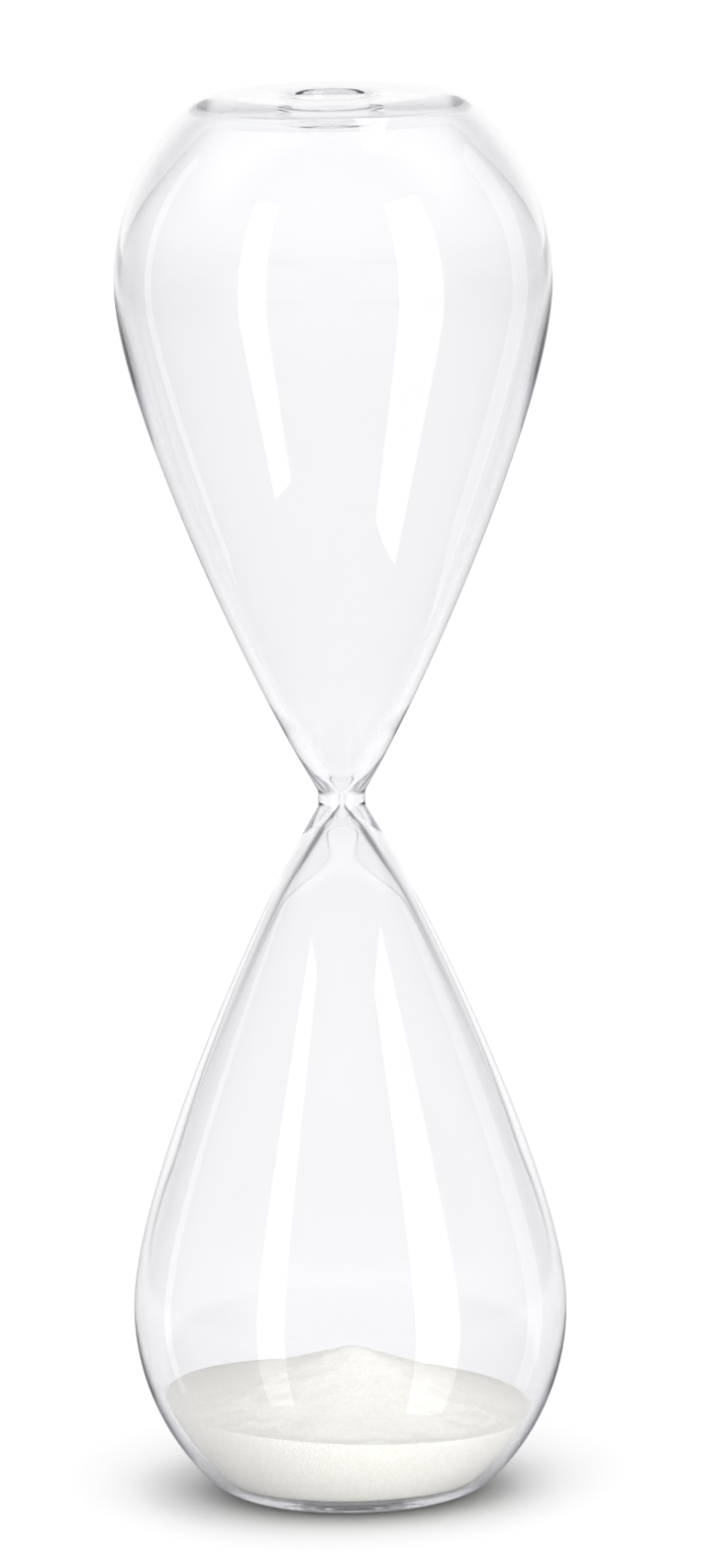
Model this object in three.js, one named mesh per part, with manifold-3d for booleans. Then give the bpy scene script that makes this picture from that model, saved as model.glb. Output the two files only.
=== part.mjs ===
// A frameless hourglass: two blown glass bulbs, fused to the ends of a thick-walled neck tube with a fine
// bore, and a charge of white sand. The sand went in through a hole in the end of the upper bulb, which a
// fused glass seal closes. The glass stands on either end.
// Millimetres, +Z up, with the origin at the centre of the lower foot.
import * as THREE from "three";
import { mergeVertices } from "three/addons/utils/BufferGeometryUtils.js";
import Module from "manifold-3d";

// Driving dimensions of the glass.
const HEIGHT = 250; // from foot to foot
const BULB_RADIUS = 38.5; // at the widest ring
const WIDEST_ABOVE_FOOT = 33.2; // height of the widest ring over the foot it is nearest to
const FOOT_RADIUS = 18.5; // where the flat foot meets the heel
const HEEL_ROUND = 11; // radius of the turn from the side into the foot
const DISH_RADIUS = 9.5; // the hollow in the middle of each foot
const DISH_DEPTH = 2.2;
const WAIST_RADIUS = 4.16; // outside of the neck at its thinnest
const WAIST_LENGTH = 1.6;
const WAIST_ROUND = 2; // turn from the waist into the shoulders
const SHOULDER_LENGTH = 3.2; // straight cone between the waist and the fused joint
const SHOULDER_ANGLE = THREE.MathUtils.degToRad(30); // from the axis
const NECK_PULL = 19; // how far the flank keeps the shoulder's direction
const WIDEST_PULL = 20.7; // how far the flank keeps upright under the widest ring

// Wall thicknesses, from the neck to the foot.
const ORIFICE_RADIUS = 0.46; // the bore that meters the sand
const SHOULDER_WALL = 2.8; // at the fused joint
const FLANK_WALL = 1.85;
const WIDEST_WALL = 1.15;
const FOOT_WALL = 1.9;
const FLANK_WALL_FROM = 0.2; // the stretch of the flank, from neck to widest ring, that has its own wall
const FLANK_WALL_TO = 0.65;

// The fill hole and the seal that closes it.
const FILL_HOLE_RADIUS = 2.5;
const SEAL_LIP = 1.5; // how far the seal's domed head reaches over the edge of the hole
const SEAL_HEIGHT = 0.9; // of the domed head

// The sand as it lies after a run, in a cone that is as wide as the bulb.
const SAND_LEVEL = 14.5; // height of the cone's edge over the lower foot
const SAND_PEAK = 11.3; // height of the cone
const SAND_HOLLOWING = 1.25; // 1 is a straight cone, and more is flatter at the edge
const SAND_LEAN = THREE.MathUtils.degToRad(3.2); // the surface is higher on the -X side

// Clearances between separate solids.
const FUSED_GAP = 0.3; // where two pieces of glass are fused
const SAND_GAP = 0.3; // between the sand and the bulb
const SEAL_MARGIN = 0.6; // of the dish's level floor round the seal's head

// Fineness of the faceted surfaces.
const TURNS = 40; // facets round a bulb
const NECK_TURNS = 24; // facets round the neck tube and the seal

const glass = new THREE.MeshStandardMaterial({ color: 0xf2f3f7, roughness: 0.03, metalness: 0 });
const whiteSand = new THREE.MeshStandardMaterial({ color: 0xf1eee4, roughness: 0.9, metalness: 0 });

const wasm = await Module();
wasm.setup();

// Curves of the outside of one half, from the middle of the waist to the centre of the foot. In these, x is
// the distance from the axis and y the height over the middle of the waist. walls are the thicknesses at a
// curve's two ends, and steps the facets along it.

const at = (x, y) => new THREE.Vector2(x, y);
const shoulderWay = at(Math.sin(SHOULDER_ANGLE), Math.cos(SHOULDER_ANGLE));
const footY = HEIGHT / 2;
const sealRadius = FILL_HOLE_RADIUS + SEAL_LIP;

function neckCurves() {
  const turnCentre = at(WAIST_RADIUS + WAIST_ROUND, WAIST_LENGTH / 2);
  const waist = new THREE.LineCurve(at(WAIST_RADIUS, 0), at(WAIST_RADIUS, WAIST_LENGTH / 2));
  const turn = new THREE.EllipseCurve(
    turnCentre.x, turnCentre.y, WAIST_ROUND, WAIST_ROUND, Math.PI, Math.PI - SHOULDER_ANGLE, true,
  );
  const turnEnd = turn.getPoint(1);
  const shoulder = new THREE.LineCurve(turnEnd, along(turnEnd, SHOULDER_LENGTH - FUSED_GAP / 2));
  const waistWall = WAIST_RADIUS - ORIFICE_RADIUS;
  const turnWall = (waistWall + SHOULDER_WALL) / 2;
  return [
    { curve: waist, steps: 1, walls: [waistWall, waistWall] },
    { curve: turn, steps: 3, walls: [waistWall, turnWall] },
    { curve: shoulder, steps: 1, walls: [turnWall, SHOULDER_WALL] },
  ];
}

// The flank is split where its wall thickness changes. The side arc stands upright at the widest ring and
// runs on smoothly into the heel.
function bulbCurves() {
  const start = along(neckCurves().at(-1).curve.v2, FUSED_GAP);
  const widest = at(BULB_RADIUS, footY - WIDEST_ABOVE_FOOT);
  const flank = new THREE.CubicBezierCurve(
    start, along(start, NECK_PULL), at(widest.x, widest.y - WIDEST_PULL), widest,
  );
  const across = BULB_RADIUS - FOOT_RADIUS;
  const up = WIDEST_ABOVE_FOOT - HEEL_ROUND;
  const sideRound = (across ** 2 + up ** 2 - HEEL_ROUND ** 2) / (2 * (across - HEEL_ROUND));
  const heelAngle = Math.asin(up / (sideRound - HEEL_ROUND));
  const side = new THREE.EllipseCurve(
    BULB_RADIUS - sideRound, widest.y, sideRound, sideRound, 0, heelAngle,
  );
  const heel = new THREE.EllipseCurve(
    FOOT_RADIUS, footY - HEEL_ROUND, HEEL_ROUND, HEEL_ROUND, heelAngle, Math.PI / 2,
  );
  const foot = new THREE.LineCurve(at(FOOT_RADIUS, footY), at(DISH_RADIUS, footY));
  const floorY = footY - DISH_DEPTH;
  const floorRadius = sealRadius + SEAL_MARGIN;
  const middle = (DISH_RADIUS + floorRadius) / 2;
  const dish = new THREE.CubicBezierCurve(
    at(DISH_RADIUS, footY), at(middle, footY), at(middle, floorY), at(floorRadius, floorY),
  );
  const dishFloor = new THREE.LineCurve(at(floorRadius, floorY), at(0, floorY));
  const heelWall = (WIDEST_WALL + FOOT_WALL) / 2;
  return [
    { curve: flank, to: FLANK_WALL_FROM, steps: 2, walls: [SHOULDER_WALL, FLANK_WALL] },
    { curve: flank, from: FLANK_WALL_FROM, to: FLANK_WALL_TO, steps: 3, walls: [FLANK_WALL, FLANK_WALL] },
    { curve: flank, from: FLANK_WALL_TO, steps: 3, walls: [FLANK_WALL, WIDEST_WALL] },
    { curve: side, steps: 3, walls: [WIDEST_WALL, heelWall] },
    { curve: heel, steps: 3, walls: [heelWall, FOOT_WALL] },
    { curve: foot, steps: 1, walls: [FOOT_WALL, FOOT_WALL] },
    { curve: dish, steps: 2, walls: [FOOT_WALL, FOOT_WALL] },
    { curve: dishFloor, steps: 1, walls: [FOOT_WALL, FOOT_WALL] },
  ];
}

function along(point, distance) {
  return point.clone().addScaledVector(shoulderWay, distance);
}

// Points on the outside and, at right angles to it, on the inside of the wall, both moved in by inset.
function wallPoints(pieces, inset = 0) {
  const outside = [];
  const inside = [];
  pieces.forEach(({ curve, from = 0, to = 1, steps, walls }, index) => {
    for (let i = index ? 1 : 0; i <= steps; i++) {
      const share = i / steps;
      const t = from + (to - from) * share;
      const point = curve.getPoint(t);
      const tangent = curve.getTangent(t);
      const inward = at(-tangent.y, tangent.x);
      const wall = THREE.MathUtils.lerp(walls[0], walls[1], THREE.MathUtils.smoothstep(share, 0, 1));
      outside.push(point.clone().addScaledVector(inward, inset));
      inside.push(point.clone().addScaledVector(inward, wall + inset));
    }
  });
  return { outside, inside };
}

// The profile is turned round Z. A profile that doesn't reach the axis closes on itself.
function turned(profile, turns) {
  const closed = profile[0].x > 0 ? [...profile, profile[0].clone()] : profile;
  return new THREE.LatheGeometry(closed, turns).rotateX(Math.PI / 2);
}

function solid(geometry) {
  const bare = geometry.clone();
  bare.deleteAttribute("normal");
  bare.deleteAttribute("uv");
  const merged = mergeVertices(bare, 1e-4);
  return new wasm.Manifold(
    new wasm.Mesh({
      numProp: 3,
      vertProperties: new Float32Array(merged.attributes.position.array),
      triVerts: new Uint32Array(merged.index.array),
    }),
  );
}

function geometryOf(manifold) {
  const { vertProperties, triVerts } = manifold.getMesh();
  const geometry = new THREE.BufferGeometry();
  geometry.setAttribute("position", new THREE.BufferAttribute(new Float32Array(vertProperties), 3));
  geometry.setIndex(new THREE.BufferAttribute(new Uint32Array(triVerts), 1));
  geometry.computeVertexNormals();
  return geometry;
}

function named(name, geometry, material) {
  const mesh = new THREE.Mesh(geometry, material);
  mesh.name = name;
  return mesh;
}

// One bulb over the middle of the waist, with its foot at the top.
function bulbGeometry() {
  const { outside, inside } = wallPoints(bulbCurves());
  outside.at(-1).x = 0;
  inside.at(-1).x = 0;
  return turned([...inside.reverse(), ...outside], TURNS);
}

function bulbWithFillHole() {
  const drill = new THREE.CylinderGeometry(FILL_HOLE_RADIUS, FILL_HOLE_RADIUS, 4 * FOOT_WALL, TURNS);
  drill.rotateX(Math.PI / 2).translate(0, 0, footY - DISH_DEPTH);
  return geometryOf(solid(bulbGeometry()).subtract(solid(drill)));
}

function neckTubeGeometry() {
  const half = wallPoints(neckCurves());
  const mirrored = (points) => points.slice(1).map((p) => at(p.x, -p.y)).reverse();
  const outside = [...mirrored(half.outside), ...half.outside];
  const inside = [...mirrored(half.inside), ...half.inside];
  return turned([...inside.reverse(), ...outside], NECK_TURNS);
}

// A stem in the fill hole with a domed head on the floor of the dish, clear of the foot's plane.
function fillSealGeometry() {
  const dishFloor = footY - DISH_DEPTH;
  const headBase = dishFloor + FUSED_GAP;
  const stem = FILL_HOLE_RADIUS - FUSED_GAP;
  const head = new THREE.EllipseCurve(0, headBase, sealRadius, SEAL_HEIGHT, 0, Math.PI / 2);
  const inner = new THREE.EllipseCurve(
    0, dishFloor - FOOT_WALL, stem, SEAL_HEIGHT / 2, -Math.PI / 2, 0,
  );
  const profile = [...inner.getPoints(3), at(stem, headBase), ...head.getPoints(4)];
  profile[0].x = 0;
  profile.at(-1).x = 0;
  return turned(profile, NECK_TURNS);
}

// The sand fills the lower bulb up to a leaning, hollowed cone. Heights here are over the lower foot.
function sandGeometry() {
  const cavity = wallPoints(bulbCurves(), SAND_GAP).inside.map((p) => at(p.x, footY - p.y));
  cavity.at(-1).x = 0;
  const fill = turned([...cavity.reverse(), at(0, cavity.at(-1).y)], TURNS);
  const steps = 6;
  const surface = Array.from({ length: steps + 1 }, (_, i) => {
    const share = i / steps;
    return at(BULB_RADIUS * (1 - share), SAND_PEAK * share ** SAND_HOLLOWING);
  });
  const cone = turned([at(0, -BULB_RADIUS), at(BULB_RADIUS, -BULB_RADIUS), ...surface], TURNS);
  cone.rotateY(SAND_LEAN).translate(0, 0, SAND_LEVEL);
  return geometryOf(solid(fill).intersect(solid(cone)));
}

const hourglass = new THREE.Group();

const upperHalf = new THREE.Group();
upperHalf.position.z = footY;
upperHalf.add(
  named("upper_bulb", bulbWithFillHole(), glass),
  named("fill_seal", fillSealGeometry(), glass),
  named("neck_tube", neckTubeGeometry(), glass),
);

const lowerHalf = new THREE.Group();
lowerHalf.position.z = footY;
lowerHalf.rotation.x = Math.PI;
lowerHalf.add(named("lower_bulb", bulbGeometry(), glass));

hourglass.add(upperHalf, lowerHalf, named("sand", sandGeometry(), whiteSand));

export default hourglass;
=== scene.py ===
# A frameless hourglass. Two blown bulbs and a thick neck tube with a fine bore are turned from one outline
# of the glass and fused end to end, a seal closes the fill hole in the upper foot, and the charge of white
# sand lies heaped in the lower bulb. Metres, +Z up, origin at the centre of the lower foot.
import math

import bpy
from mathutils import Matrix, Vector


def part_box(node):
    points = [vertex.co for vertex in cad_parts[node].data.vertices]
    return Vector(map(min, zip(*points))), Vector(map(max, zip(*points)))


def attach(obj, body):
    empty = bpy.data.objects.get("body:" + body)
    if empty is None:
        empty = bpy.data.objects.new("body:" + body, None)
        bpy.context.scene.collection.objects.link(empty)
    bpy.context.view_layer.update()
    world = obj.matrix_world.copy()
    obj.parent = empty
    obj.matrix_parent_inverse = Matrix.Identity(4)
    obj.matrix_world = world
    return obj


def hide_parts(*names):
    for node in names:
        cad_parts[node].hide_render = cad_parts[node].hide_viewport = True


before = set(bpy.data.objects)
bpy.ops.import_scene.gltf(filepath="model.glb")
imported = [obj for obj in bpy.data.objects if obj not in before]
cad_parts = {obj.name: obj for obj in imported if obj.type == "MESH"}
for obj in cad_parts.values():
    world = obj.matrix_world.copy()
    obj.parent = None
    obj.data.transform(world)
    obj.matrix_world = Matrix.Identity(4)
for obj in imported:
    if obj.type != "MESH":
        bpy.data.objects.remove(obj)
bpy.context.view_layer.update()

MM = 0.001

# ---------------------------------------------------------------------------------------------------------
# Sizes. The overall ones come from the frame, and the rest are the glass's own.

LOWER_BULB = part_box("lower_bulb")
UPPER_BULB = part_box("upper_bulb")
NECK_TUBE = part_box("neck_tube")

HEIGHT = UPPER_BULB[1].z
MIDDLE = (NECK_TUBE[0].z + NECK_TUBE[1].z) / 2  # the waist's height over the lower foot
BULB_RADIUS = LOWER_BULB[1].x
WIDEST_ABOVE_FOOT = 33.2 * MM
FOOT_RADIUS = 18.5 * MM
HEEL_ROUND = 11 * MM
DISH_RADIUS = 9.5 * MM
DISH_DEPTH = 2.2 * MM
WAIST_RADIUS = 4.16 * MM
HALF_WAIST = 0.8 * MM  # half the waist's straight length
WAIST_ROUND = 2 * MM  # turn from the waist into the shoulders
SHOULDER_LENGTH = 3.2 * MM
SHOULDER_ANGLE = math.radians(30)
NECK_PULL = 19 * MM  # how far the flank keeps the shoulder's direction
WIDEST_PULL = 20.7 * MM  # how far the flank keeps upright under the widest ring

ORIFICE_RADIUS = 0.46 * MM
SHOULDER_WALL = 3.0 * MM
FLANK_WALL = 1.85 * MM
WIDEST_WALL = 1.15 * MM
FOOT_WALL = 1.9 * MM
TURN_THINNING = 0.45  # how much of the way to the shoulder's wall is made over the waist's turn
FLANK_WALL_FROM = 0.2  # the stretch of the flank, from neck to widest ring, that has its own wall
FLANK_WALL_TO = 0.65

FILL_HOLE_RADIUS = 2.5 * MM
SEAL_RADIUS = 4 * MM
SEAL_HEIGHT = 0.9 * MM  # of the domed head
SEAL_RIM = 0.01 * MM  # height of the head at its edge
SEAL_DROP = 0.5 * MM  # how far the melted end bulges into the bulb
DISH_FLOOR_RADIUS = 4.6 * MM

JOINT_GAP = 0.02 * MM  # between the faces of two fused pieces, too fine to see
JOINT_REACH = 0.05 * MM  # a face this near to the middle of a joint is part of it
WELD = 0.002 * MM  # corners nearer than this are one
TURNS = 144  # facets round the glass
CURVE_STEP = 0.01  # share of a curve over which its direction is taken
SHARP_EDGE = math.radians(35)  # edges that turn by more than this stay sharp


# ---------------------------------------------------------------------------------------------------------
# The outline of the glass. A point holds the distance from the axis in x and the height over the middle of
# the waist in z. The curves of one half run from the waist to the centre of its foot.

def point(r, z):
    return Vector((r, 0, z))


def line(a, b):
    return lambda t: a.lerp(b, t)


def arc(centre, radius, start, end):
    def at(t):
        angle = start + (end - start) * t
        return centre + radius * point(math.cos(angle), math.sin(angle))
    return at


def bezier(a, b, c, d):
    def at(t):
        s = 1 - t
        return s**3 * a + 3 * s * s * t * b + 3 * s * t * t * c + t**3 * d
    return at


def part_of(curve, start, end):
    return lambda t: curve(start + (end - start) * t)


SHOULDER_WAY = point(math.sin(SHOULDER_ANGLE), math.cos(SHOULDER_ANGLE))
HALF = HEIGHT / 2
DISH_FLOOR = HALF - DISH_DEPTH


def neck_curves():
    """Curves of the neck tube's half: (curve, steps, wall at its start, wall at its end)."""
    centre = point(WAIST_RADIUS + WAIST_ROUND, HALF_WAIST)
    turn = arc(centre, WAIST_ROUND, math.pi, math.pi - SHOULDER_ANGLE)
    joint = turn(1) + SHOULDER_WAY * (SHOULDER_LENGTH - JOINT_GAP / 2)
    waist_wall = WAIST_RADIUS - ORIFICE_RADIUS
    turn_wall = (1 - TURN_THINNING) * waist_wall + TURN_THINNING * SHOULDER_WALL
    return [
        (line(point(WAIST_RADIUS, 0), point(WAIST_RADIUS, HALF_WAIST)), 3, waist_wall, waist_wall),
        (turn, 10, waist_wall, turn_wall),
        (line(turn(1), joint), 10, turn_wall, SHOULDER_WALL),
    ]


def bulb_curves():
    """The same for a bulb, from the fused joint to the level floor of the dish in its foot."""
    start = neck_curves()[-1][0](1) + SHOULDER_WAY * JOINT_GAP
    widest = point(BULB_RADIUS, HALF - WIDEST_ABOVE_FOOT)
    flank = bezier(start, start + SHOULDER_WAY * NECK_PULL, widest - point(0, WIDEST_PULL), widest)
    across = BULB_RADIUS - FOOT_RADIUS
    up = WIDEST_ABOVE_FOOT - HEEL_ROUND
    side_round = (across**2 + up**2 - HEEL_ROUND**2) / (2 * (across - HEEL_ROUND))
    heel_angle = math.asin(up / (side_round - HEEL_ROUND))
    side = arc(point(BULB_RADIUS - side_round, widest.z), side_round, 0, heel_angle)
    heel = arc(point(FOOT_RADIUS, HALF - HEEL_ROUND), HEEL_ROUND, heel_angle, math.pi / 2)
    foot = line(point(FOOT_RADIUS, HALF), point(DISH_RADIUS, HALF))
    between = (DISH_RADIUS + DISH_FLOOR_RADIUS) / 2
    dish = bezier(
        point(DISH_RADIUS, HALF), point(between, HALF),
        point(between, DISH_FLOOR), point(DISH_FLOOR_RADIUS, DISH_FLOOR),
    )
    heel_wall = (WIDEST_WALL + FOOT_WALL) / 2
    return [
        (part_of(flank, 0, FLANK_WALL_FROM), 14, SHOULDER_WALL, FLANK_WALL),
        (part_of(flank, FLANK_WALL_FROM, FLANK_WALL_TO), 22, FLANK_WALL, FLANK_WALL),
        (part_of(flank, FLANK_WALL_TO, 1), 18, FLANK_WALL, WIDEST_WALL),
        (side, 16, WIDEST_WALL, heel_wall),
        (heel, 18, heel_wall, FOOT_WALL),
        (foot, 4, FOOT_WALL, FOOT_WALL),
        (dish, 10, FOOT_WALL, FOOT_WALL),
    ]


def wall_points(curves, clearance=0):
    """Points on the outside, and straight through the wall, and a clearance, from them on the inside."""
    outside, inside = [], []
    for index, (curve, steps, wall_start, wall_end) in enumerate(curves):
        for i in range(1 if index else 0, steps + 1):
            t = i / steps
            way = (curve(min(t + CURVE_STEP, 1)) - curve(max(t - CURVE_STEP, 0))).normalized()
            ease = t * t * (3 - 2 * t)
            wall = wall_start + (wall_end - wall_start) * ease
            outside.append(curve(t))
            inside.append(curve(t) + (wall + clearance) * point(-way.z, way.x))
    return outside, inside


# ---------------------------------------------------------------------------------------------------------
# Turning. A piece starts as one corner, which is extruded along its outline and spun about the axis.

def start_corner(name, place):
    bpy.ops.object.select_all(action="DESELECT")
    bpy.ops.mesh.primitive_plane_add(size=MM, location=(0, 0, 0))
    piece = bpy.context.object
    piece.name = name
    piece.data.name = name
    bpy.ops.object.mode_set(mode="EDIT")
    bpy.ops.mesh.merge(type="CENTER")
    bpy.ops.transform.translate(value=place)
    return piece


def turn_piece(name, outline, closed, turns=TURNS):
    """Spins an outline, whose corners are in the row frame, into a solid of revolution."""
    piece = start_corner(name, outline[0])
    corners = outline + [outline[0]] if closed else outline
    for a, b in zip(corners, corners[1:]):
        bpy.ops.mesh.extrude_vertices_move(TRANSFORM_OT_translate={"value": b - a})
    bpy.ops.mesh.select_all(action="SELECT")
    bpy.ops.mesh.spin(steps=turns, angle=2 * math.pi, center=(0, 0, 0), axis=(0, 0, 1))
    bpy.ops.mesh.select_all(action="SELECT")
    bpy.ops.mesh.remove_doubles(threshold=WELD)
    bpy.ops.mesh.normals_make_consistent(inside=False)
    bpy.ops.object.mode_set(mode="OBJECT")
    return piece


def upright(points):
    """An outline of the upper half, in the row frame."""
    return [p + point(0, MIDDLE) for p in points]


def turned_over(points):
    """The same outline in the lower half."""
    return [point(p.x, MIDDLE - p.z) for p in points]


def soften(piece):
    bpy.ops.object.select_all(action="DESELECT")
    piece.select_set(True)
    bpy.context.view_layer.objects.active = piece
    bpy.ops.object.shade_smooth_by_angle(angle=SHARP_EDGE)


def mark_joints(piece, joints):
    """Marks the faces that are melted to the next piece, given the middle of each joint's outline."""
    fused = piece.data.attributes.new("fused", "FLOAT", "FACE")
    for face in piece.data.polygons:
        place = point(math.hypot(face.center.x, face.center.y), face.center.z)
        if any((place - joint).length < JOINT_REACH for joint in joints):
            fused.data[face.index].value = 1


# ---------------------------------------------------------------------------------------------------------
# Materials

GLASS_WAVE = 22 * MM
GRAIN = 0.45 * MM


def linear(hex_colour):
    """sRGB hex to linear RGBA."""
    parts = [int(hex_colour[i : i + 2], 16) / 255 for i in (0, 2, 4)]
    return [c / 12.92 if c <= 0.04045 else ((c + 0.055) / 1.055) ** 2.4 for c in parts] + [1]


def add_node(tree, kind, settings=None, **links):
    """Adds a node, sets its properties, and sets or links its inputs by name."""
    node = tree.nodes.new(kind)
    for key, value in (settings or {}).items():
        setattr(node, key, value)
    for key, value in links.items():
        socket = node.inputs[int(key[1:])] if key[0] == "_" else node.inputs[key.replace("_", " ")]
        if isinstance(value, bpy.types.NodeSocket):
            tree.links.new(value, socket)
        else:
            socket.default_value = value
    return node


def new_material(name):
    material = bpy.data.materials.new(name)
    material.use_nodes = True
    material.node_tree.nodes.clear()
    return material, material.node_tree


def lamp_worked_borosilicate():
    """Borosilicate tube, blown and drawn in the flame.

    The flame leaves no grain or scratches, so the surface is mirror smooth, but the hand turning leaves a
    slow waviness about 22 mm long. The eye reads it as reflections that wander a little, and as edges that
    turn grey where one looks along the wall.
    """
    material, tree = new_material("lamp_worked_borosilicate")
    place = add_node(tree, "ShaderNodeTexCoord").outputs["Object"]
    wave = add_node(tree, "ShaderNodeTexNoise", Vector=place, Scale=1 / GLASS_WAVE, Detail=1.0)
    bump = add_node(
        tree, "ShaderNodeBump", Strength=0.25, Distance=0.06 * MM, Height=wave.outputs["Fac"]
    )
    glass = add_node(
        tree, "ShaderNodeBsdfPrincipled", Base_Color=linear("FBFBFC"), Roughness=0.0, IOR=1.474,
        Transmission_Weight=1.0, Normal=bump.outputs["Normal"],
    )
    lamps = add_node(tree, "ShaderNodeBsdfTransparent", Color=linear("FCFCFD"))
    rays = add_node(tree, "ShaderNodeLightPath")
    for_lamps = add_node(
        tree, "ShaderNodeMixShader", _0=rays.outputs["Is Shadow Ray"], _1=glass.outputs[0],
        _2=lamps.outputs[0],
    )
    fused = add_node(tree, "ShaderNodeAttribute", {"attribute_name": "fused"})
    melted = add_node(tree, "ShaderNodeBsdfTransparent", Color=(1, 1, 1, 1))
    surface = add_node(
        tree, "ShaderNodeMixShader", _0=fused.outputs["Fac"], _1=for_lamps.outputs[0], _2=melted.outputs[0]
    )
    body = add_node(tree, "ShaderNodeVolumeAbsorption", Color=linear("DCDCE0"), Density=22.0)
    add_node(tree, "ShaderNodeOutputMaterial", Surface=surface.outputs[0], Volume=body.outputs[0])
    return material


def washed_quartz_sand():
    """Quartz sand, washed, dried and sieved to one size.

    Rounded clear and milky grains scatter the light, so the heap is matt and off-white with no gloss. Grains
    differ a little in colour and lie uneven, which gives a fine speckle. Such grains are 0.1 to 0.2 mm
    across, and drawn at 0.45 mm so that they show.
    """
    material, tree = new_material("washed_quartz_sand")
    place = add_node(tree, "ShaderNodeTexCoord").outputs["Object"]
    grains = add_node(tree, "ShaderNodeTexVoronoi", Vector=place, Scale=1 / GRAIN)
    colour = add_node(
        tree, "ShaderNodeMix", {"data_type": "RGBA"}, _0=grains.outputs["Color"],
        _6=linear("F6F5EB"), _7=linear("FFFDF6"),
    )
    bump = add_node(
        tree, "ShaderNodeBump", Strength=0.6, Distance=0.2 * MM, Height=grains.outputs["Distance"]
    )
    sand = add_node(
        tree, "ShaderNodeBsdfPrincipled", Base_Color=colour.outputs[2], Roughness=0.9,
        Normal=bump.outputs["Normal"],
    )
    sand.inputs["Specular IOR Level"].default_value = 0.2
    add_node(tree, "ShaderNodeOutputMaterial", Surface=sand.outputs[0])
    return material


# ---------------------------------------------------------------------------------------------------------
# Pieces

def joint_middle(curves, end):
    outside, inside = wall_points(curves)
    return (outside[end] + inside[end]) / 2


def make_neck_tube():
    outside, inside = wall_points(neck_curves())
    lower = turned_over(outside)[:0:-1] + upright(outside)
    bore = upright(inside)[::-1] + turned_over(inside)[1:]
    piece = turn_piece("neck_tube_glass", lower + bore, closed=True)
    joint = joint_middle(neck_curves(), -1)
    mark_joints(piece, upright([joint]) + turned_over([joint]))
    return piece


def make_lower_bulb():
    outside, inside = wall_points(bulb_curves())
    outline = inside[::-1] + outside
    outline = [point(0, inside[-1].z)] + outline + [point(0, outside[-1].z)]
    piece = turn_piece("lower_bulb_glass", turned_over(outline), closed=False)
    mark_joints(piece, turned_over([joint_middle(bulb_curves(), 0)]))
    return piece


def make_upper_bulb():
    outside, inside = wall_points(bulb_curves())
    floor, ceiling = outside[-1].z, inside[-1].z
    ring = [point(SEAL_RADIUS, floor), point(FILL_HOLE_RADIUS, floor), point(FILL_HOLE_RADIUS, ceiling)]
    piece = turn_piece("upper_bulb_glass", upright(inside[::-1] + outside + ring), closed=True)
    melted = [(ring[0] + ring[1]) / 2, (ring[1] + ring[2]) / 2, joint_middle(bulb_curves(), 0)]
    mark_joints(piece, upright(melted))
    return piece


def make_fill_seal():
    floor, ceiling = DISH_FLOOR + JOINT_GAP, DISH_FLOOR - FOOT_WALL
    stem = FILL_HOLE_RADIUS - JOINT_GAP
    head_steps, drop_steps = 12, 6
    head, drop = [], []
    for i in range(head_steps + 1):
        share = i / head_steps
        head.append(point(SEAL_RADIUS * share, floor + SEAL_HEIGHT * math.cos(math.pi * share / 2) ** 2))
    head[-1].z += SEAL_RIM
    for i in range(drop_steps + 1):
        angle = i * math.pi / 2 / drop_steps
        drop.append(point(stem * math.sin(angle), ceiling - SEAL_DROP * math.cos(angle)))
    under = [point(SEAL_RADIUS, floor), point(stem, floor)]
    outline = head + under + drop[::-1]
    piece = turn_piece("fill_seal_glass", upright(outline), closed=False)
    mark_joints(piece, upright([(under[0] + under[1]) / 2, (under[1] + drop[-1]) / 2]))
    return piece


SAND_LEVEL = 14.5 * MM
SAND_PEAK = 11.3 * MM
SAND_HOLLOWING = 1.25  # over 1 the sides of the heap are hollow
SAND_TIP = 1.4 * MM  # how far the tip is rounded over
SAND_LEAN = math.radians(3.2)
SAND_TIP_LIFT = 1.05  # gives the heap back the height that its rounded tip takes
SAND_HEADROOM = 3 * MM  # over the tip, so that the bed's level top cuts nothing off the leaning heap
SAND_GAP = 0.45 * MM  # leaves room for the heap to slide up to where the bulb narrows
# The rim creeps up the wall in steps: corners nearer the wall than this rise by that much more.
SAND_RIM = ((2.4 * MM, 0.04 * MM), (1.5 * MM, 0.06 * MM), (0.8 * MM, 0.1 * MM))
SAND_RIM_WIDTH = 1.2 * MM  # this near the wall the surface stays even
SETTLING = (5 * MM, 0.5 * MM)  # (size, height) of the hollows left as the sand settled
GRAIN_RELIEF = (0.5 * MM, 0.16 * MM)  # the same for the grains
UPWARD = 0.6  # a face of the surface has at least this upward share in its normal
ANYWHERE = 1  # further than any corner is from the wall
SAND_TURNS = 240
HEAP_STEPS = 80
HEAP_OVERREACH = 4 * MM  # how far the heap is wider than the bulb before it is cut
HEAP_BOTTOM = -30 * MM


def heap_height(r):
    share = max(1 - math.hypot(r, SAND_TIP) / BULB_RADIUS, 0)
    return SAND_LEVEL + SAND_PEAK * SAND_TIP_LIFT * share**SAND_HOLLOWING


def make_bed():
    """The room that the sand lies in, cut off level over the tip of the heap."""
    _, inside = wall_points(bulb_curves(), SAND_GAP)
    room = [p for p in turned_over(inside) if p.z < SAND_LEVEL + SAND_PEAK + SAND_HEADROOM]
    outline = [point(0, room[0].z)] + room + [point(0, room[-1].z)]
    return turn_piece("sand_charge", outline, closed=False, turns=SAND_TURNS)


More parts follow.
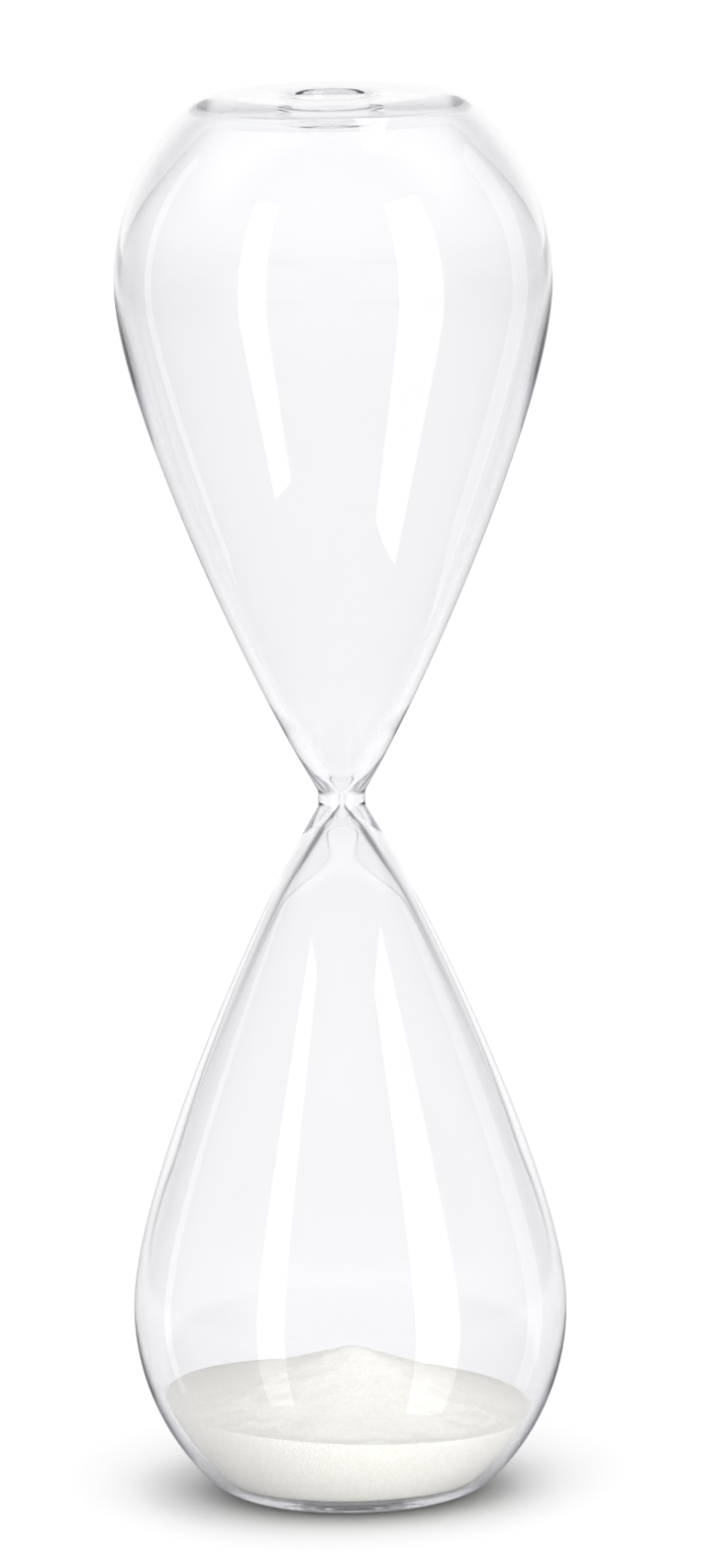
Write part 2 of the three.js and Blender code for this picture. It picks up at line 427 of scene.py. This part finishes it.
def make_heap():
    """Everything under the heap's surface, leaning as the glass was set down."""
    reach = BULB_RADIUS + HEAP_OVERREACH
    radii = [reach * i / HEAP_STEPS for i in range(HEAP_STEPS + 1)]
    surface = [point(r, heap_height(r)) for r in radii]
    under = [point(reach, HEAP_BOTTOM), point(0, HEAP_BOTTOM)]
    heap = turn_piece("heap", surface + under, closed=False, turns=SAND_TURNS)
    bpy.ops.object.mode_set(mode="EDIT")
    bpy.ops.mesh.select_all(action="SELECT")
    bpy.ops.transform.rotate(value=-SAND_LEAN, orient_axis="Y", center_override=(0, 0, SAND_LEVEL))
    bpy.ops.object.mode_set(mode="OBJECT")
    return heap


def wall_radius(outline, z):
    for a, b in zip(outline, outline[1:]):
        if min(a.z, b.z) <= z <= max(a.z, b.z) and a.z != b.z:
            return a.x + (b.x - a.x) * (z - a.z) / (b.z - a.z)
    return BULB_RADIUS


def select_surface(piece, outline, nearer):
    """Selects the corners of the heap's surface that are nearer than this to the wall."""
    bpy.ops.object.mode_set(mode="EDIT")
    bpy.ops.mesh.select_all(action="DESELECT")
    bpy.ops.object.mode_set(mode="OBJECT")
    mesh = piece.data
    top = {index for face in mesh.polygons if face.normal.z > UPWARD for index in face.vertices}
    for index in top:
        corner = mesh.vertices[index].co
        gap = wall_radius(outline, corner.z) - math.hypot(corner.x, corner.y)
        mesh.vertices[index].select = gap < nearer
    return [index for index in top if mesh.vertices[index].select]


def displace(piece, name, group, size, strength):
    texture = bpy.data.textures.new(name, "CLOUDS")
    texture.noise_scale = size
    texture.noise_depth = 2
    uneven = piece.modifiers.new(name, "DISPLACE")
    uneven.texture = texture
    uneven.texture_coords = "LOCAL"
    uneven.direction = "Z"
    uneven.vertex_group = group
    uneven.mid_level = 0.5
    uneven.strength = strength
    bpy.ops.object.modifier_apply(modifier=name)


def make_sand():
    piece = make_bed()
    heap = make_heap()
    bpy.ops.object.select_all(action="DESELECT")
    piece.select_set(True)
    bpy.context.view_layer.objects.active = piece
    cut = piece.modifiers.new("cut", "BOOLEAN")
    cut.operation = "INTERSECT"
    cut.object = heap
    bpy.ops.object.modifier_apply(modifier="cut")
    bpy.data.objects.remove(heap)
    _, inside = wall_points(bulb_curves(), SAND_GAP)
    outline = turned_over(inside)
    for nearer, rise in SAND_RIM:
        select_surface(piece, outline, nearer)
        bpy.ops.object.mode_set(mode="EDIT")
        bpy.ops.transform.translate(value=(0, 0, rise))
        bpy.ops.object.mode_set(mode="OBJECT")
    near_wall = set(select_surface(piece, outline, SAND_RIM_WIDTH))
    everywhere = select_surface(piece, outline, ANYWHERE)
    surface = piece.vertex_groups.new(name="surface")
    surface.add([index for index in everywhere if index not in near_wall], 1.0, "REPLACE")
    displace(piece, "settling", "surface", *SETTLING)
    displace(piece, "grains", "surface", *GRAIN_RELIEF)
    return piece


glass = lamp_worked_borosilicate()
sand_finish = washed_quartz_sand()

for make, node in (
    (make_lower_bulb, "lower_bulb"),
    (make_neck_tube, "neck_tube"),
    (make_upper_bulb, "upper_bulb"),
    (make_fill_seal, "fill_seal"),
):
    piece = make()
    soften(piece)
    piece.data.materials.append(glass)
    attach(piece, "glass")
    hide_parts(node)

heap = make_sand()
soften(heap)
heap.data.materials.append(sand_finish)
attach(heap, "sand_charge")
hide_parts("sand")


# ---------------------------------------------------------------------------------------------------------
# Floor, light and camera

FLOOR_RADIUS = 5.5
FLOOR_DROP = 0.05 * MM  # keeps the floor from touching the foot
FLOOR_TONE = "E6E6E6"  # the pale floor that the glass stands on
FLOOR_PAINTED_SHADE = "ADADB0"  # painted shade: the floor turns greyer to its sides, where the light would fall off, which gives the glass its dark flanks
PAINTED_SHADE_EDGE = (0.35, 1.1)  # metres to the side, where the painted shade starts and where it is complete


def make_floor():
    bpy.ops.object.select_all(action="DESELECT")
    bpy.ops.mesh.primitive_circle_add(
        vertices=64, radius=FLOOR_RADIUS, fill_type="NGON", location=(0, 0, -FLOOR_DROP)
    )
    floor = bpy.context.object
    floor.name = "floor"
    material, tree = new_material("pale_floor")
    place = add_node(tree, "ShaderNodeTexCoord").outputs["Object"]
    across = add_node(tree, "ShaderNodeSeparateXYZ", Vector=place)
    aside = add_node(tree, "ShaderNodeMath", {"operation": "ABSOLUTE"}, _0=across.outputs["X"])
    # painted shade: the floor greys away from the middle, as if less light reached its sides
    painted_shade_share = add_node(
        tree, "ShaderNodeMapRange", {"interpolation_type": "SMOOTHSTEP"}, Value=aside.outputs[0],
        From_Min=PAINTED_SHADE_EDGE[0], From_Max=PAINTED_SHADE_EDGE[1],
    )
    colour = add_node(
        tree, "ShaderNodeMix", {"data_type": "RGBA"}, _0=painted_shade_share.outputs[0], _6=linear(FLOOR_TONE),
        _7=linear(FLOOR_PAINTED_SHADE),
    )
    floor_surface = add_node(tree, "ShaderNodeBsdfPrincipled", Base_Color=colour.outputs[2], Roughness=0.9)
    floor_surface.inputs["Specular IOR Level"].default_value = 0.0
    add_node(tree, "ShaderNodeOutputMaterial", Surface=floor_surface.outputs[0])
    floor.data.materials.append(material)
    floor.visible_glossy = False


def area_lamp(name, place, width, height, radiance, colour="FFFFFF", diffuse=True, glossy=True):
    """A rectangular light that faces down. The camera doesn't see it, nor does it show through the glass."""
    lamp = bpy.data.lights.new(name, "AREA")
    lamp.shape = "RECTANGLE"
    lamp.size = width
    lamp.size_y = height
    lamp.energy = radiance * math.pi * width * height
    lamp.color = linear(colour)[:3]
    box = bpy.data.objects.new(name, lamp)
    bpy.context.scene.collection.objects.link(box)
    box.location = place
    box.visible_camera = False
    box.visible_transmission = False
    box.visible_diffuse = diffuse
    box.visible_glossy = glossy
    return box


def softbox(name, azimuth, distance, z, **settings):
    """A lamp that faces the axis. Azimuth 0 is the camera's side, and grows to the right."""
    a = math.radians(azimuth)
    box = area_lamp(name, (distance * math.sin(a), -distance * math.cos(a), z), **settings)
    aim(box, Vector((0, 0, z)))
    return box


def aim(box, target):
    box.rotation_euler = (target - box.location).to_track_quat("-Z", "Y").to_euler()


def shine_only_on(lamp, name):
    """Keeps a lamp's light off everything but one piece, as a flag would."""
    lit = bpy.data.collections.new("lit_by_" + lamp.name)
    lit.objects.link(bpy.data.objects[name])
    lamp.light_linking.receiver_collection = lit


# Lamps, in metres and degrees. A radiance of 1 shows as white.
WARM = "FFFDF4"
STRIP_RADIANCE = 2.4
LEFT_STRIP = {"azimuth": -42, "distance": 0.7, "radiance": STRIP_RADIANCE}
RIGHT_STRIP = {"azimuth": 46, "distance": 0.7, "radiance": STRIP_RADIANCE, "colour": WARM}
KICKER = {"distance": 0.9, "z": 0.2, "height": 1.3, "diffuse": False}
OVERHEAD_TURN = math.radians(13)
SKY_ANGLE = math.radians(70)
SKY_ENERGY = 0.95


def make_lamps():
    """Two strips for the long highlights, lamps for the sand and the floor, kickers for the rear edges."""
    softbox("left_strip", z=0.05, width=0.19, height=1.1, diffuse=False, **LEFT_STRIP)
    softbox("right_strip", z=-0.01, width=0.31, height=1.2, diffuse=False, **RIGHT_STRIP)
    left_top = softbox("left_strip_top", z=0.7, width=0.19, height=0.2, **LEFT_STRIP)
    shine_only_on(left_top, "upper_bulb_glass")
    right_top = softbox("right_strip_top", z=0.695, width=0.31, height=0.21, **RIGHT_STRIP)
    shine_only_on(right_top, "upper_bulb_glass")
    fill = softbox(
        "sand_fill", azimuth=14, distance=2.5, z=0.35, width=4.0, height=0.8, radiance=6.9, glossy=False
    )
    shine_only_on(fill, "sand_charge")
    key = softbox(
        "sand_key", azimuth=90, distance=0.8, z=0.9, width=0.8, height=0.8, radiance=0.3, glossy=False
    )
    aim(key, Vector((0, 0, 0)))
    shine_only_on(key, "sand_charge")
    area_lamp("table_fill", place=(0, -0.6, 1.1), width=0.9, height=0.8, radiance=2.05, glossy=False)
    area_lamp("far_fill", place=(0, 2.6, 1.8), width=1.2, height=2.4, radiance=1.45, glossy=False)
    softbox("left_kicker", width=0.1, radiance=0.9, azimuth=-112, **KICKER)
    softbox("right_kicker", width=0.24, radiance=0.7, azimuth=114, **KICKER)
    top = area_lamp("overhead", place=(0.35, 0.03, 1.4), width=0.25, height=0.85, radiance=STRIP_RADIANCE)
    top.rotation_euler = (0, 0, OVERHEAD_TURN)


def make_sky():
    """A wide sun straight above, for the floor."""
    sun = bpy.data.lights.new("sky", "SUN")
    sun.angle = SKY_ANGLE
    sun.energy = SKY_ENERGY
    sky = bpy.data.objects.new("sky", sun)
    bpy.context.scene.collection.objects.link(sky)
    sky.visible_glossy = False
    sky.visible_transmission = False
    sky.visible_camera = False


BACKDROP = "FBFBFC"  # behind the glass, for the camera
AMBIENT = "E6E6E6"  # light from all round on matt surfaces
COVE = "FFFFFF"  # what shows in and through the glass straight behind it, and in the roof over it
TABLE = "DADADC"  # below
ROOM_SIDES = "95939A"
HORIZON = "F0F0F1"  # in front, low down
ROOM_FRONT = "B0AFB1"  # in front, higher up


def rise(degrees):
    """The upward share of a direction that is this far over the horizon."""
    return math.sin(math.radians(degrees))


def turn(degrees):
    """The share straight on of a direction that is turned this far aside."""
    return math.cos(math.radians(degrees))


# Where the surroundings change tone. Each has the axis, where the change starts and where it is complete.
CHANGES = {
    "behind": ("Y", turn(49), turn(19)),  # the sides of the cove
    "risen": ("Z", rise(-14), rise(-2)),  # its foot
    "above": ("Z", rise(24), rise(46)),  # the edge of the roof
    "past": ("Y", -0.4, -0.05),  # where the roof fades out towards the front
    "below": ("Z", rise(-15), rise(-40)),
    "front": ("Y", -turn(80), -turn(30)),
    "higher": ("Z", rise(-2), rise(24)),  # up the front wall
}


def make_surroundings():
    """A cove behind and a roof above, both white, in a room with grey sides."""
    world = bpy.data.worlds.new("studio")
    bpy.context.scene.world = world
    world.use_nodes = True
    world.node_tree.nodes.clear()
    tree = world.node_tree
    way = add_node(tree, "ShaderNodeTexCoord").outputs["Generated"]
    parts = add_node(tree, "ShaderNodeSeparateXYZ", Vector=way)
    share = {}
    for name, (axis, start, complete) in CHANGES.items():
        share[name] = add_node(
            tree, "ShaderNodeMapRange", {"interpolation_type": "SMOOTHSTEP"}, Value=parts.outputs[axis],
            From_Min=start, From_Max=complete,
        ).outputs[0]
    cove = add_node(tree, "ShaderNodeMath", {"operation": "MULTIPLY"}, _0=share["behind"], _1=share["risen"])
    roof = add_node(tree, "ShaderNodeMath", {"operation": "MULTIPLY"}, _0=share["above"], _1=share["past"])
    lit = add_node(tree, "ShaderNodeMath", {"operation": "MAXIMUM"}, _0=cove.outputs[0], _1=roof.outputs[0])
    front_wall = add_node(
        tree, "ShaderNodeMix", {"data_type": "RGBA"}, _0=share["higher"], _6=linear(HORIZON),
        _7=linear(ROOM_FRONT),
    )
    rays = add_node(tree, "ShaderNodeLightPath")
    colour = linear(ROOM_SIDES)
    for over, amount in (
        (front_wall.outputs[2], share["front"]),
        (linear(TABLE), share["below"]),
        (linear(COVE), lit.outputs[0]),
        (linear(BACKDROP), rays.outputs["Is Camera Ray"]),
        (linear(AMBIENT), rays.outputs["Is Diffuse Ray"]),
    ):
        mixed = add_node(tree, "ShaderNodeMix", {"data_type": "RGBA"}, _0=amount, _6=colour, _7=over)
        colour = mixed.outputs[2]
    light = add_node(tree, "ShaderNodeBackground", Color=colour, Strength=1.0)
    add_node(tree, "ShaderNodeOutputWorld", Surface=light.outputs[0])


CAMERA_DISTANCE = 2.0
CAMERA_ELEVATION = math.radians(10.2)
CAMERA_ROLL = math.radians(0.96)
AIM_RIGHT = 1.75 * MM  # from the middle of the neck
AIM_UP = 2.4 * MM
LENS = 260  # millimetres
SENSOR_WIDTH = 36


def make_camera():
    camera = bpy.data.cameras.new("camera")
    camera.lens = LENS
    camera.sensor_width = SENSOR_WIDTH
    camera.dof.use_dof = False
    holder = bpy.data.objects.new("camera", camera)
    bpy.context.scene.collection.objects.link(holder)
    neck = Vector((0, 0, MIDDLE))
    back = Vector((0, -math.cos(CAMERA_ELEVATION), math.sin(CAMERA_ELEVATION)))
    holder.location = neck + CAMERA_DISTANCE * back
    target = neck + Vector((AIM_RIGHT, 0, AIM_UP))
    look = (target - holder.location).to_track_quat("-Z", "Y").to_matrix()
    holder.rotation_euler = (look @ Matrix.Rotation(-CAMERA_ROLL, 3, "Z")).to_euler()
    bpy.context.scene.camera = holder


BOUNCES = 64  # light runs a long way along inside the wall before it gets out

make_floor()
make_lamps()
make_sky()
make_surroundings()
make_camera()
bpy.context.scene.view_settings.view_transform = "Standard"
cycles = bpy.context.scene.cycles
cycles.max_bounces = BOUNCES
cycles.glossy_bounces = BOUNCES
cycles.transmission_bounces = BOUNCES
cycles.transparent_max_bounces = BOUNCES
